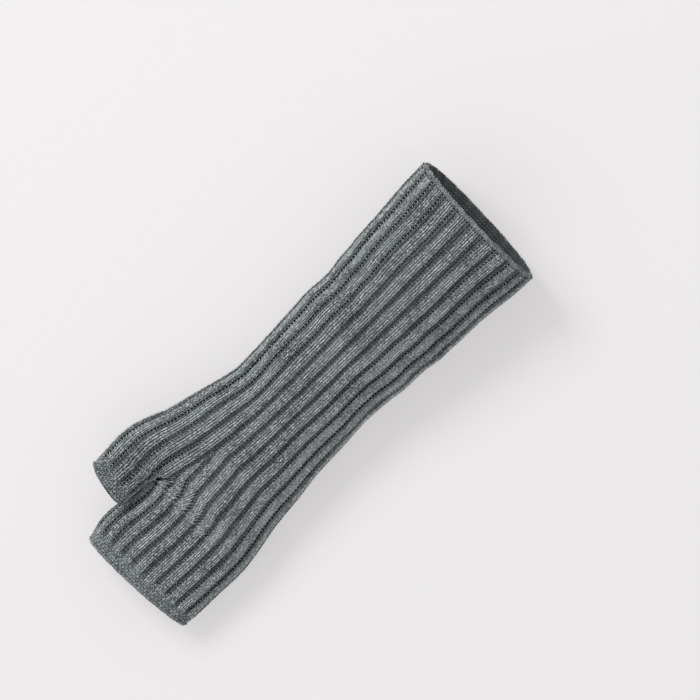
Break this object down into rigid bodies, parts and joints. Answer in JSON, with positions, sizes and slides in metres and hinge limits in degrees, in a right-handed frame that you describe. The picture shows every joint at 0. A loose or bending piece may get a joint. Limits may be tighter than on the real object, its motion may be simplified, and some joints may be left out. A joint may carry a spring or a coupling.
{
  "type": "fingerless glove",
  "caption": "Long ribbed wool fingerless glove for the right hand, with a short thumb tube, dense bound-off edges and a sleeve that reaches up the forearm.",
  "frame": {"origin": "middle of the underside of the whole glove's box", "axes": "+Y from the hand opening up the arm, +Z out of the palm, the thumb on the -X side"},
  "size_m": [0.1058, 0.2932, 0.072],
  "materials": {
    "rib_knit": "fuzzy charcoal heather wool, wide ribs",
    "welt_knit": "dense bound-off wool edge",
    "darning_yarn": "plied wool yarn",
    "label_satin": "plain woven satin",
    "sewing_thread": "spun sewing thread"
  },
  "bodies": {
    "root": {"rib_body": "rib_knit", "thumb_sleeve": "rib_knit", "hand_welt": "welt_knit", "arm_welt": "welt_knit", "thumb_welt": "welt_knit", "side_seam": "darning_yarn", "thumb_seam": "darning_yarn", "hand_yarn_tail": "darning_yarn", "arm_yarn_tail": "darning_yarn", "thumb_yarn_tail": "darning_yarn", "care_label": "label_satin", "label_stitches": "sewing_thread"}
  },
  "joints": []
}
